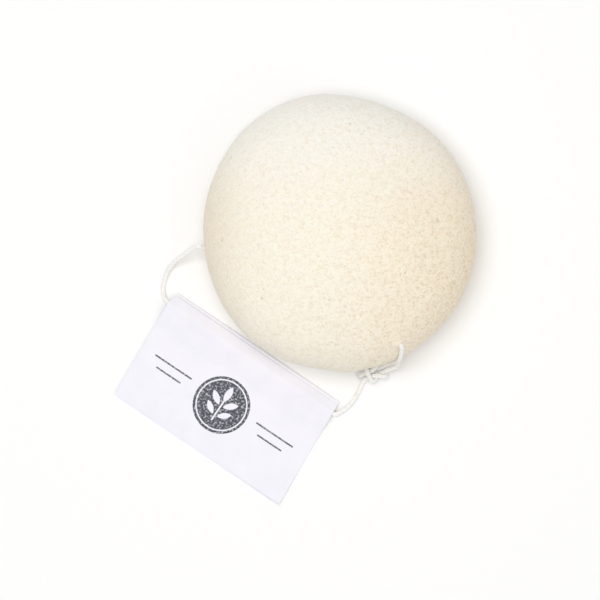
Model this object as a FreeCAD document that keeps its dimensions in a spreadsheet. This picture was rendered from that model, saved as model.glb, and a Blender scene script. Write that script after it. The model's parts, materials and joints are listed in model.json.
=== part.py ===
import FreeCAD, Part
import math
import os

import Sketcher
from FreeCAD import Placement, Rotation, Vector

# A half-ball sponge with a cotton string sewn through it. The string is tied into a loop with a reef knot,
# and a folded card label is glued together over it. Everything lies on the table as in the photograph.
# Millimetres, +Z up, origin at the centre of the sponge's flat base, photograph right is +X and up is +Y.
SIZES = (
    # Sponge: its lower edge is rounded up to the equator, and its crown rises above its shoulder
    ("sponge_radius", 40.0),
    ("sponge_height", 38.0),
    ("equator_height", 12.0),
    ("crown_rise", 6.0),
    # String channel: plan angles of its mouths, the left one's height
    # and the right one's distance in from the outline
    ("left_mouth_angle", 185.2),
    ("left_mouth_height", 11.0),
    ("right_mouth_angle", -61.35),
    ("right_mouth_inset", 4.3),
    ("mouth_depth", 1.1),
    ("mouth_flare", 40.0),
    # String: its gap to the foam, and how far its held stretches stand out of the channel and the label
    ("string_diameter", 1.4),
    ("string_gap", 0.65),
    ("held_proud", 0.7),
    ("tag_string_proud", 0.4),
    # Label: its turn in plan, gap to the sponge, start along the fold, sheet and hump over the string
    ("tag_turn", -33.94),
    ("tag_reach", 0.2),
    ("tag_start", -28.95),
    ("tag_length", 56.5),
    ("tag_width", 35.2),
    ("tag_lean", 3.4),
    ("leaf_step", 0.5),
    ("card", 0.3),
    ("fold_radius", 0.25),
    ("string_inset", 4.0),
    ("hump_gap", 0.15),
    ("settle", 13.0),
    ("settle_radius", 12.0),
    # Glue strip between the leaves: its inset from where they meet, and its margins to the edge and ends
    ("glue", 0.1),
    ("glue_inset", 2.0),
    ("glue_edge", 2.7),
    ("glue_margin", 5.0),
    # Knot: its plan angle, distance from the sponge's outline, height and turn, and its two tails
    ("knot_angle", -74.5),
    ("knot_reach", 1.6),
    ("knot_height", 2.58),
    ("knot_turn", 22.0),
    ("short_tail", 5.4),
    ("long_tail", 7.0),
)

# The string's free runs pass through points chosen by hand.
# In string diameters: the straight starts out of the mouths and the label, and the step over the right lip
LEFT_START = 0.95
LIP = 0.75
OVER_LIP = 1.05
TAG_LEFT_START = 1.1
TAG_RIGHT_START = 1.45
# In string diameters: where the sponge end comes down to the knot, and the height of the long tail's end
KNOT_LEAD = Vector(4.6, -0.53, 2.7)
LONG_TAIL_RISE = 0.1
# Beside the sponge: distance out from its outline, degrees past the left mouth, and height
LEFT_RUN_BY_SPONGE = ((4.9, 1.9, 7.4), (9.7, 5.1, 2.4))
# On the table beside the label: distance along its string and out from it
LEFT_RUN_BY_TAG = (-4.8, -3.9)
RIGHT_RUN_BY_TAG = ((2.95, -2.55), (2.95, -7.4))
TABLE_GAP = 0.05
# Down the right flank: degrees above the equator and degrees past the right mouth
FLANK = ((18.0, -1.3), (-4.0, -3.6))
# Each bend takes this share of the shorter of its two runs
BEND_SHARE = 0.45

# Half of the sponge end's bight in string diameters: over the other bend, down between its legs,
# out under one leg and up to the bend that closes over both
OVER = Vector(2.70, 0.53, 1.30)
DIP = Vector(0.25, 0.53, -0.55)
SWING = Vector(-1.07, 1.66, -0.83)
BEND = Vector(-1.77, 1.47, 0.72)

# The cuts that shape the label and the mouths run past what they cut
CUT_PAST = 1.0
DIMPLE_PAST = 3

doc = FreeCAD.newDocument("KonjacSponge")
sheet = doc.addObject("Spreadsheet::Sheet", "Sizes")
for row, (alias, value) in enumerate(SIZES, 1):
    sheet.set(f"A{row}", alias)
    sheet.set(f"B{row}", str(value))
    sheet.setAlias(f"B{row}", alias)
doc.recompute()


def size(alias):
    return float(sheet.get(alias))


def origin_plane(body, role):
    return next(f for f in body.Origin.OriginFeatures if f.Role == role)


def sketch_on(body, role, name):
    sketch = body.newObject("Sketcher::SketchObject", name)
    sketch.AttachmentSupport = [(origin_plane(body, role), "")]
    sketch.MapMode = "FlatFace"
    return sketch


def arc(centre, radius, start, end):
    """A counter-clockwise arc of a sketch between two points on it."""
    first = math.atan2(start[1] - centre[1], start[0] - centre[0])
    last = math.atan2(end[1] - centre[1], end[0] - centre[0])
    if last < first:
        last += 2 * math.pi
    circle = Part.Circle(Vector(centre[0], centre[1], 0), Vector(0, 0, 1), radius)
    return Part.ArcOfCircle(circle, first, last)


def line(start, end):
    return Part.LineSegment(Vector(start[0], start[1], 0), Vector(end[0], end[1], 0))


def bind(sketch, name, constraint, formula):
    """Add a dimension to a sketch and bind it to the sizes."""
    index = sketch.addConstraint(constraint)
    sketch.renameConstraint(index, name)
    sketch.setExpression(f"Constraints.{name}", formula)


def polar(radius, degrees, height):
    turn = math.radians(degrees)
    return Vector(radius * math.cos(turn), radius * math.sin(turn), height)


# The sponge's section: flat base, rounded lower edge, shoulder and crown
R = size("sponge_radius")
H = size("sponge_height")
EQUATOR = size("equator_height")
SHOULDER = H - EQUATOR - size("crown_rise")
base_centre = (R - EQUATOR, EQUATOR)
shoulder_centre = (R - SHOULDER, EQUATOR)
rise = H - EQUATOR
crown_radius = (shoulder_centre[0] ** 2 + rise**2 - SHOULDER**2) / (2 * size("crown_rise"))
crown_centre = (0.0, H - crown_radius)
to_shoulder = Vector(shoulder_centre[0], EQUATOR - crown_centre[1], 0).normalize()
crown_meet = (to_shoulder.x * crown_radius, crown_centre[1] + to_shoulder.y * crown_radius)

blank = doc.addObject("PartDesign::Body", "SpongeBlank")
section = sketch_on(blank, "XZ_Plane", "SpongeSection")
section.addGeometry(line((0, 0), (0, H)))
section.addGeometry(line((0, 0), (base_centre[0], 0)))
section.addGeometry(arc(base_centre, EQUATOR, (base_centre[0], 0), (R, EQUATOR)))
section.addGeometry(arc(shoulder_centre, SHOULDER, (R, EQUATOR), crown_meet))
section.addGeometry(arc(crown_centre, crown_radius, crown_meet, (0, H)))
section.addConstraint(Sketcher.Constraint("Coincident", 0, 1, -1, 1))
section.addConstraint(Sketcher.Constraint("Coincident", 1, 1, -1, 1))
section.addConstraint(Sketcher.Constraint("Vertical", 0))
section.addConstraint(Sketcher.Constraint("Horizontal", 1))
section.addConstraint(Sketcher.Constraint("Tangent", 1, 2, 2, 1))
section.addConstraint(Sketcher.Constraint("Tangent", 2, 2, 3, 1))
section.addConstraint(Sketcher.Constraint("Tangent", 3, 2, 4, 1))
section.addConstraint(Sketcher.Constraint("Coincident", 4, 2, 0, 2))
section.addConstraint(Sketcher.Constraint("PointOnObject", 4, 3, -2))
section.addConstraint(Sketcher.Constraint("Horizontal", 2, 3, 3, 3))
bind(section, "height", Sketcher.Constraint("DistanceY", 0, 1, 0, 2, H), "Sizes.sponge_height")
bind(section, "lower_edge", Sketcher.Constraint("Radius", 2, EQUATOR), "Sizes.equator_height")
bind(
    section,
    "shoulder",
    Sketcher.Constraint("Radius", 3, SHOULDER),
    "Sizes.sponge_height - Sizes.equator_height - Sizes.crown_rise",
)
bind(
    section,
    "base",
    Sketcher.Constraint("DistanceX", 1, 1, 1, 2, base_centre[0]),
    "Sizes.sponge_radius - Sizes.equator_height",
)
dome = blank.newObject("PartDesign::Revolution", "Dome")
dome.Profile = section
dome.ReferenceAxis = (section, ["V_Axis"])
dome.Angle = 360
blank.Tip = dome


def flank_radius(height):
    """The sponge's radius at a height on its lower edge or its shoulder."""
    if height < EQUATOR:
        return base_centre[0] + math.sqrt(EQUATOR**2 - (EQUATOR - height) ** 2)
    return shoulder_centre[0] + math.sqrt(SHOULDER**2 - (height - EQUATOR) ** 2)


def shoulder_height(radius):
    """The height of the sponge's shoulder at a distance from its axis."""
    return EQUATOR + math.sqrt(SHOULDER**2 - (radius - shoulder_centre[0]) ** 2)


# The string channel: a straight needle hole that opens into a dimple at each mouth
d = size("string_diameter")
left_angle = size("left_mouth_angle")
left_height = size("left_mouth_height")
left_mouth = polar(flank_radius(left_height), left_angle, left_height)
right_angle = size("right_mouth_angle")
right_radius = R - size("right_mouth_inset")
right_mouth = polar(right_radius, right_angle, shoulder_height(right_radius))
along = (right_mouth - left_mouth).normalize()
depth = size("mouth_depth")
left_root = left_mouth + along * depth
right_root = right_mouth - along * depth
channel_turn = Rotation(Vector(0, 0, 1), along)

channel = doc.addObject("Part::Cylinder", "Channel")
channel.setExpression("Radius", "Sizes.string_diameter / 2")
channel.Height = (right_root - left_root).Length
channel.Placement = Placement(left_root, channel_turn)


def dimple(name, root, outward):
    """A cone that widens from the string at its root, out past the sponge's surface."""
    reach = f"Sizes.mouth_depth * {DIMPLE_PAST}"
    cone = doc.addObject("Part::Cone", name)
    cone.setExpression("Radius1", "Sizes.string_diameter / 2")
    cone.setExpression("Height", reach)
    cone.setExpression("Radius2", f"Sizes.string_diameter / 2 + {reach} * tan(Sizes.mouth_flare * 1 deg)")
    cone.Placement = Placement(root, Rotation(Vector(0, 0, 1), outward))
    return cone


holes = doc.addObject("Part::MultiFuse", "ChannelAndDimples")
holes.Shapes = [channel, dimple("LeftDimple", left_root, -along), dimple("RightDimple", right_root, along)]
sponge = doc.addObject("Part::Cut", "Sponge")
sponge.Base = blank
sponge.Tool = holes
sponge.Label = "sponge_body"

# The foam grips the string in the channel, and each end stands proud in its dimple
proud = size("held_proud")
left_exit = left_root - along * proud
right_exit = right_root + along * proud
held = doc.addObject("Part::Cylinder", "HeldString")
held.setExpression("Radius", "Sizes.string_diameter / 2")
held.setExpression("Height", "Channel.Height + 2 * Sizes.held_proud * 1 mm")
held.Placement = Placement(left_exit, channel_turn)
held.Label = "string_through_sponge"

# The label's frame: x away from the sponge, y along the fold, origin where the two are nearest
tag_rotation = Rotation(Vector(0, 0, 1), size("tag_turn") - 90)
tag_out = tag_rotation.multVec(Vector(1, 0, 0))
tag_along = tag_rotation.multVec(Vector(0, 1, 0))
tag_origin = tag_out * (R + size("tag_reach"))
tag_place = Placement(tag_origin, tag_rotation)

# The label's section: back leaf on the table, fold, front leaf over the string and down onto the glue
card = size("card")
fold = size("fold_radius")
glue = size("glue")
hump = d / 2 + size("hump_gap")
string_height = card + hump
F = Vector(fold + card, fold + card)
S = Vector(size("string_inset"), string_height)
SETTLE = size("settle_radius")
B = Vector(size("settle"), card + glue + SETTLE)


def shared_normal(first, second, reach):
    """Upward unit normal n of a line with n . (second - first) = reach."""
    gap = second - first
    lean = math.atan2(gap.y, gap.x)
    swing = math.acos(reach / gap.Length)
    return Vector(math.cos(lean + swing), math.sin(lean + swing))


up = shared_normal(F, S, fold - hump)
down = shared_normal(S, B, hump + SETTLE)


def leaf_points(lift):
    """Where the front leaf's runs and bends meet, on its lower face or lifted to its upper one."""
    return [
        F + up * (fold + lift),
        S + up * (hump + lift),
        S + down * (hump + lift),
        B - down * (SETTLE - lift),
        Vector(B.x, B.y - SETTLE + lift),
    ]


low = leaf_points(0.0)
top = leaf_points(card)
back_end = size("tag_width")
front_end = back_end - size("leaf_step")
strip = doc.addObject("PartDesign::Body", "TagStrip")
profile = sketch_on(strip, "XZ_Plane", "TagSection")
corner = (F.x, card)
profile.addGeometry(line((back_end, 0), (F.x, 0)))
profile.addGeometry(arc(F, fold + card, top[0], (F.x, 0)))
profile.addGeometry(line(top[0], top[1]))
profile.addGeometry(arc(S, hump + card, top[2], top[1]))
profile.addGeometry(line(top[2], top[3]))
profile.addGeometry(arc(B, SETTLE - card, top[3], top[4]))
profile.addGeometry(line(top[4], (front_end, top[4].y)))
profile.addGeometry(line((front_end, top[4].y), (front_end, low[4].y)))
profile.addGeometry(line((front_end, low[4].y), low[4]))
profile.addGeometry(arc(B, SETTLE, low[3], low[4]))
profile.addGeometry(line(low[3], low[2]))
profile.addGeometry(arc(S, hump, low[2], low[1]))
profile.addGeometry(line(low[1], low[0]))
profile.addGeometry(arc(F, fold, low[0], corner))
profile.addGeometry(line(corner, (back_end, card)))
profile.addGeometry(line((back_end, card), (back_end, 0)))
# Each bend meets its neighbours in a smooth line; 1 and 2 are an element's first and last points
for first, first_point, second, second_point in (
    (0, 2, 1, 2),
    (1, 1, 2, 1),
    (2, 2, 3, 2),
    (3, 1, 4, 1),
    (4, 2, 5, 1),
    (5, 2, 6, 1),
    (8, 2, 9, 2),
    (9, 1, 10, 1),
    (10, 2, 11, 1),
    (11, 2, 12, 1),
    (12, 2, 13, 1),
    (13, 2, 14, 1),
):
    profile.addConstraint(Sketcher.Constraint("Tangent", first, first_point, second, second_point))
for first, second in ((6, 7), (7, 8), (14, 15)):
    profile.addConstraint(Sketcher.Constraint("Coincident", first, 2, second, 1))
profile.addConstraint(Sketcher.Constraint("Coincident", 15, 2, 0, 1))
profile.addConstraint(Sketcher.Constraint("PointOnObject", 0, 1, -1))
for flat in (0, 6, 8, 14):
    profile.addConstraint(Sketcher.Constraint("Horizontal", flat))
for end in (7, 15):
    profile.addConstraint(Sketcher.Constraint("Vertical", end))
for outer, inner in ((1, 13), (3, 11), (5, 9)):
    profile.addConstraint(Sketcher.Constraint("Coincident", outer, 3, inner, 3))
bind(profile, "fold_inside", Sketcher.Constraint("Radius", 13, fold), "Sizes.fold_radius")
bind(
    profile,
    "fold_outside",
    Sketcher.Constraint("Radius", 1, fold + card),
    "Sizes.fold_radius + Sizes.card",
)
bind(
    profile,
    "fold_place",
    Sketcher.Constraint("DistanceX", -1, 1, 1, 3, F.x),
    "Sizes.fold_radius + Sizes.card",
)
bind(
    profile,
    "hump_inside",
    Sketcher.Constraint("Radius", 11, hump),
    "Sizes.string_diameter / 2 + Sizes.hump_gap",
)
bind(
    profile,
    "hump_outside",
    Sketcher.Constraint("Radius", 3, hump + card),
    "Sizes.string_diameter / 2 + Sizes.hump_gap + Sizes.card",
)
bind(profile, "string_place", Sketcher.Constraint("DistanceX", -1, 1, 3, 3, S.x), "Sizes.string_inset")
bind(
    profile,
    "string_level",
    Sketcher.Constraint("DistanceY", -1, 1, 3, 3, S.y),
    "Sizes.card + Sizes.string_diameter / 2 + Sizes.hump_gap",
)
bind(profile, "settle_inside", Sketcher.Constraint("Radius", 9, SETTLE), "Sizes.settle_radius")
bind(
    profile,
    "settle_outside",
    Sketcher.Constraint("Radius", 5, SETTLE - card),
    "Sizes.settle_radius - Sizes.card",
)
bind(profile, "settle_place", Sketcher.Constraint("DistanceX", -1, 1, 9, 3, B.x), "Sizes.settle")
bind(
    profile,
    "settle_level",
    Sketcher.Constraint("DistanceY", -1, 1, 9, 3, B.y),
    "Sizes.card + Sizes.glue + Sizes.settle_radius",
)
bind(profile, "back_leaf", Sketcher.Constraint("DistanceX", -1, 1, 0, 1, back_end), "Sizes.tag_width")
bind(
    profile,
    "front_leaf",
    Sketcher.Constraint("DistanceX", -1, 1, 7, 1, front_end),
    "Sizes.tag_width - Sizes.leaf_step",
)
folded = strip.newObject("PartDesign::Pad", "FoldedStrip")
folded.Profile = profile
folded.setExpression("Length", "Sizes.tag_length * 2")
folded.Midplane = True
strip.Tip = folded
strip.Placement = tag_place

# The label's outline in plan: its ends are cut a little off square
lean = math.tan(math.radians(size("tag_lean")))
tag_first = size("tag_start")
tag_last = tag_first + size("tag_length")
outline_body = doc.addObject("PartDesign::Body", "TagOutline")
outline = sketch_on(outline_body, "XY_Plane", "TagCut")
near = -CUT_PAST
far = back_end + CUT_PAST
outline_points = [
    (near, tag_first + near * lean),
    (far, tag_first + far * lean),
    (far, tag_last + far * lean),
    (near, tag_last + near * lean),
]
for start, end in zip(outline_points, outline_points[1:] + outline_points[:1]):
    outline.addGeometry(line(start, end))
for first in range(4):
    outline.addConstraint(Sketcher.Constraint("Coincident", first, 2, (first + 1) % 4, 1))
outline.addConstraint(Sketcher.Constraint("Vertical", 1))
outline.addConstraint(Sketcher.Constraint("Vertical", 3))
outline.addConstraint(Sketcher.Constraint("Parallel", 0, 2))
bind(outline, "near", Sketcher.Constraint("DistanceX", 0, 1, -1, 1, CUT_PAST), f"{CUT_PAST}")
bind(
    outline,
    "across",
    Sketcher.Constraint("DistanceX", 0, 1, 0, 2, far - near),
    f"Sizes.tag_width + 2 * {CUT_PAST}",
)
bind(
    outline,
    "length",
    Sketcher.Constraint("DistanceY", 1, 1, 1, 2, tag_last - tag_first),
    "Sizes.tag_length",
)
bind(
    outline,
    "slant",
    Sketcher.Constraint("DistanceY", 0, 1, 0, 2, (far - near) * lean),
    f"(Sizes.tag_width + 2 * {CUT_PAST}) * tan(Sizes.tag_lean * 1 deg)",
)
bind(
    outline,
    "start",
    Sketcher.Constraint("DistanceY", 0, 1, -1, 1, -tag_first - near * lean),
    f"-Sizes.tag_start + {CUT_PAST} * tan(Sizes.tag_lean * 1 deg)",
)
outline_pad = outline_body.newObject("PartDesign::Pad", "TagOutlinePad")
outline_pad.Profile = outline
outline_pad.setExpression("Length", "4 * (2 * Sizes.card + Sizes.string_diameter + 2 * Sizes.hump_gap)")
outline_pad.Midplane = True
outline_body.Tip = outline_pad
outline_body.Placement = tag_place

tag = doc.addObject("Part::Common", "Tag")
tag.Base = strip
tag.Tool = outline_body
tag.Label = "folded_tag"

# The glue strip lies where the leaves are parallel
glue_start = Vector(size("settle") + size("glue_inset"), tag_first + size("glue_margin"), card)
glue_strip = doc.addObject("Part::Box", "GlueStrip")
glue_strip.setExpression(
    "Length", "Sizes.tag_width - Sizes.leaf_step - Sizes.glue_edge - Sizes.settle - Sizes.glue_inset"
)
glue_strip.setExpression("Width", "Sizes.tag_length - 2 * Sizes.glue_margin")
glue_strip.setExpression("Height", "Sizes.glue")
glue_strip.Placement = tag_place.multiply(Placement(glue_start, Rotation()))
glue_strip.Label = "tag_glue_strip"

# The string under the label's fold, a little longer than the label
string_slant = size("string_inset") * lean
string_line = tag_origin + tag_out * size("string_inset") + Vector(0, 0, string_height)
tag_left = string_line + tag_along * (tag_first + string_slant - size("tag_string_proud"))
tag_right = string_line + tag_along * (tag_last + string_slant + size("tag_string_proud"))
through_tag = doc.addObject("Part::Cylinder", "TagString")
through_tag.setExpression("Radius", "Sizes.string_diameter / 2")
through_tag.setExpression("Height", "Sizes.tag_length + 2 * Sizes.tag_string_proud")
through_tag.Placement = Placement(tag_left, Rotation(Vector(0, 0, 1), tag_along))
through_tag.Label = "string_through_tag"

# The reef knot's frame: x along the knot towards the sponge's right mouth, y towards the sponge
knot_centre = polar(R + size("knot_reach"), size("knot_angle"), size("knot_height"))
knot_place = Placement(knot_centre, Rotation(Vector(0, 0, 1), size("knot_turn")))


def knot_point(point, outer=False, turned=False):
    """A knot point in the part's frame, on the leg away from the sponge, or on the other end's bight."""
    side = -1 if outer else 1
    end = -1 if turned else 1
    return knot_place.multVec(Vector(end * point.x, side * point.y, end * point.z) * d)


def bight(turned):
    """Points of one end's bight from its standing leg's dip to its tail's dip."""
    outer = [knot_point(p, True, turned) for p in (DIP, SWING, BEND)]
    inner = [knot_point(p, False, turned) for p in (BEND, SWING, DIP)]
    return outer + inner


def beside_shoulder(tilt, degrees):
    """A point beside the shoulder, tilt degrees above the equator, where a string clears the foam."""
    reach = SHOULDER + d / 2 + size("string_gap")
    angle = math.radians(tilt)
    return polar(shoulder_centre[0] + reach * math.cos(angle), degrees, EQUATOR + reach * math.sin(angle))


def beside_tag(end, run, out):
    """A point on the table beside an end of the label's string."""
    place = end + tag_along * run + tag_out * out
    return Vector(place.x, place.y, d / 2 + TABLE_GAP)


# The sponge end: out of the right mouth, over the shoulder, down the flank and into the knot
flank = [beside_shoulder(tilt, right_angle + past) for tilt, past in FLANK]
lip = right_mouth + along * (LIP * d)
over_lip = lip + (along + (flank[0] - lip).normalize()).normalize() * (OVER_LIP * d)
sponge_run = [right_exit, lip, over_lip] + flank + [knot_place.multVec(KNOT_LEAD * d)]
long_tail_end = knot_place.multVec(Vector(size("long_tail"), DIP.y * d, LONG_TAIL_RISE * d))
sponge_end_route = sponge_run + bight(False) + [knot_point(OVER), long_tail_end]

# The label's end: out of the label on the right, round on the table and into the knot
tag_run = [tag_right, tag_right + tag_along * (TAG_RIGHT_START * d)]
tag_run += [beside_tag(tag_right, run, out) for run, out in RIGHT_RUN_BY_TAG]
tag_run += [knot_point(OVER, True, True)]
short_tail_end = knot_place.multVec(Vector(-size("short_tail"), DIP.y * d, -OVER.z * d))
tag_end_route = tag_run + bight(True) + [knot_point(OVER, False, True), short_tail_end]

# The left run: out of the left mouth, down to the table and round into the label
left_run = [left_exit, left_mouth - along * (LEFT_START * d)]
left_run += [polar(R + out, left_angle + past, height) for out, past, height in LEFT_RUN_BY_SPONGE]
left_run += [beside_tag(tag_left, *LEFT_RUN_BY_TAG), tag_left - tag_along * (TAG_LEFT_START * d), tag_left]


def route_edges(name, points):
    """Edges of a route through points: straight runs joined by smooth bends."""
    edges = []
    radii = []
    turns = []
    reached = points[0]
    for before, here, after in zip(points, points[1:], points[2:]):
        entry = (here - before).normalize()
        leave = (after - here).normalize()
        turn = entry.getAngle(leave)
        cut = BEND_SHARE * min((here - before).Length, (after - here).Length)
        radius = cut / math.tan(turn / 2)
        bend_start = here - entry * cut
        bend_end = here + leave * cut
        inward = (leave - entry).normalize()
        middle = here + inward * (math.hypot(radius, cut) - radius)
        edges.append(Part.LineSegment(reached, bend_start).toShape())
        edges.append(Part.Arc(bend_start, middle, bend_end).toShape())
        radii.append(round(radius, 2))
        turns.append(math.degrees(turn))
        reached = bend_end
    edges.append(Part.LineSegment(reached, points[-1]).toShape())
    print(f"{name}: bend radii {radii}, largest turn {max(turns):.0f} degrees")
    return edges


def split_route(name, points, after):
    """A route's edges in two lists, cut in the middle of the straight that follows a point of it."""
    edges = route_edges(name, points)
    straight = edges[2 * after]
    start = straight.valueAt(straight.FirstParameter)
    end = straight.valueAt(straight.LastParameter)
    middle = (start + end) * 0.5
    first = edges[: 2 * after] + [Part.LineSegment(start, middle).toShape()]
    second = [Part.LineSegment(middle, end).toShape()] + edges[2 * after + 1 :]
    return first, second


def tube(label, edges):
    """A string along edges, each of which meets the next smoothly."""
    wire = Part.Wire(edges)
    start = edges[0].valueAt(edges[0].FirstParameter)
    heading = edges[0].tangentAt(edges[0].FirstParameter)
    ring = Part.Wire(Part.Circle(start, heading, d / 2).toShape())
    solid = wire.makePipeShell([ring], True, False)
    if solid.Volume < 0:
        solid.reverse()
    expected = math.pi * d**2 / 4 * wire.Length
    feature = doc.addObject("Part::Feature", label.title().replace("_", ""))
    feature.Shape = solid
    feature.Label = label
    print(f"{label}: {wire.Length:.1f} mm long, volume against a straight run {solid.Volume / expected:.4f}")
    return feature


tube("string_left_run", route_edges("left run", left_run))
first, second = split_route("label end", tag_end_route, len(tag_run) - 2)
tube("string_right_run", first)
tag_bight = tube("knot_tag_bight", second)
first, second = split_route("sponge end", sponge_end_route, len(sponge_run) - 1)
tube("string_sponge_run", first)
sponge_bight = tube("knot_sponge_bight", second)
doc.recompute()
knot_gap = tag_bight.Shape.distToShape(sponge_bight.Shape)[0]
print(f"least gap between the knot's two strands {knot_gap:.3f} mm")

NODES = (
    "sponge_body",
    "string_through_sponge",
    "string_left_run",
    "string_through_tag",
    "string_right_run",
    "string_sponge_run",
    "knot_tag_bight",
    "knot_sponge_bight",
    "folded_tag",
    "tag_glue_strip",
)
for obj in doc.Objects:
    if "Invalid" in obj.State or "Error" in obj.State:
        raise RuntimeError(f"{obj.Label} has failed: {obj.State}")
os.makedirs("parts", exist_ok=True)
for node in NODES:
    shape = doc.getObjectsByLabel(node)[0].Shape
    if shape.isNull() or not shape.isValid():
        raise RuntimeError(f"{node} has no valid shape")
    shape.exportStep(f"parts/{node}.step")
    box = shape.optimalBoundingBox()
    print(
        f"{node}: {len(shape.Solids)} solid, {shape.Volume:.1f} mm3, z {box.ZMin:.2f} to {box.ZMax:.2f}, "
        f"x {box.XMin:.1f} to {box.XMax:.1f}, y {box.YMin:.1f} to {box.YMax:.1f}"
    )
print("loop axis from", left_mouth, "along", along)
print("label axis from", tag_left, "along", tag_along)
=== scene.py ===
import json
import math

import bpy
import numpy as np
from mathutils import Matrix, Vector, noise


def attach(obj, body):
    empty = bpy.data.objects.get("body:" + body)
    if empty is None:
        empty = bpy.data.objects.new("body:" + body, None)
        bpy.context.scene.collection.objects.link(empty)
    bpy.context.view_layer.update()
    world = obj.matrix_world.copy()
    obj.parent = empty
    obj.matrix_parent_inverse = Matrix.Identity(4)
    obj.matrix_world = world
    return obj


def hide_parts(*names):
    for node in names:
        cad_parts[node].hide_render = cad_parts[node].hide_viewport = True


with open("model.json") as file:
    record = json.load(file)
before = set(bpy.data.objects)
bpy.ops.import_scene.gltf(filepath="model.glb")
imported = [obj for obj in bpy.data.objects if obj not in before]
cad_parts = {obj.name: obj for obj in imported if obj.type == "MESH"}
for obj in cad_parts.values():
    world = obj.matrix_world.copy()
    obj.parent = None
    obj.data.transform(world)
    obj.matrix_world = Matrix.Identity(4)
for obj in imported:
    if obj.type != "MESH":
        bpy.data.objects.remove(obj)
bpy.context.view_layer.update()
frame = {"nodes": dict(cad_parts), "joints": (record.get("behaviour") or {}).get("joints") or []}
MM = 0.001

# The photograph looks straight down. Its size and scale, and where the sponge's centre is in it
PHOTO_PIXELS = 600
MM_PER_PIXEL = 0.2896
SPONGE_PIXEL = (338.4, 233.7)
CAMERA_HEIGHT_M = 2.0
SENSOR_MM = 36.0

# Sizes that the solids have, in millimetres
SPONGE_RADIUS = 40.0
SPONGE_HEIGHT = 38.0
EQUATOR = 12.0
CROWN_RISE = 6.0
MOUTH_DEPTH = 1.1
HELD_PROUD = 0.7
STRING = 1.4
CARD = 0.3
GLUE = 0.1
FOLD_RADIUS = 0.25
HUMP_GAP = 0.15
HUMP = STRING / 2 + HUMP_GAP
STRING_INSET = 4.0
STRING_HEIGHT = CARD + HUMP
TAG_STRING_PROUD = 0.4
TAG_LENGTH = 56.5
TAG_WIDTH = 35.2
TAG_LEAN = math.tan(math.radians(3.4))
LEAF_STEP = 0.5
SETTLE = 13.0
SETTLE_RADIUS = 12.0

# Places in millimetres, and directions: the frame's joints give the string channel and the label's string
joints = {joint["name"]: joint for joint in frame["joints"]}
LEFT_MOUTH = Vector(joints["loop_lift"]["pos_m"]) / MM
ALONG = -Vector(joints["loop_lift"]["axis"])
TAG_LEFT = Vector(joints["tag_swing"]["pos_m"]) / MM
TAG_ALONG = -Vector(joints["tag_swing"]["axis"])
TAG_OUT = Vector((TAG_ALONG.y, -TAG_ALONG.x, 0.0))
RIGHT_MOUTH = Vector((17.12, -31.33, 24.39))
UP = Vector((0, 0, 1))


# Helpers for meshes and pieces
def srgb(code):
    """A colour written as six hexadecimal digits, as the linear values that a socket takes."""
    values = [int(code[i : i + 2], 16) / 255 for i in (0, 2, 4)]
    return tuple(v / 12.92 if v <= 0.04045 else ((v + 0.055) / 1.055) ** 2.4 for v in values) + (1.0,)


def smooth_step(low, high, x):
    """0 below low, 1 above high, smooth between."""
    t = np.clip((np.asarray(x, float) - low) / (high - low), 0, 1)
    return t * t * (3 - 2 * t)


def grid_quads(index):
    """Quads between the neighbours in a grid of point numbers."""
    quads = np.stack([index[:-1, :-1], index[1:, :-1], index[1:, 1:], index[:-1, 1:]], axis=-1)
    return quads.reshape(-1, 4)


def mesh_piece(name, points_mm, faces, material):
    """A smooth-shaded object in the scene, from points in millimetres."""
    mesh = bpy.data.meshes.new(name)
    mesh.from_pydata((np.asarray(points_mm) * MM).tolist(), [], [tuple(f) for f in faces])
    mesh.polygons.foreach_set("use_smooth", [True] * len(mesh.polygons))
    mesh.update()
    mesh.materials.append(material)
    piece = bpy.data.objects.new(name, mesh)
    bpy.context.scene.collection.objects.link(piece)
    return piece


def point_attribute(piece, name, kind, values):
    """Values at a mesh's points, which its material reads."""
    attribute = piece.data.attributes.new(name, kind, "POINT")
    key = "vector" if kind == "FLOAT_VECTOR" else "value"
    attribute.data.foreach_set(key, np.asarray(values, np.float32).ravel())


# Sockets of a Mix node that mixes colours
MIX_SHARE = 0
MIX_FIRST = 6
MIX_SECOND = 7
MIX_RESULT = 2


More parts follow.
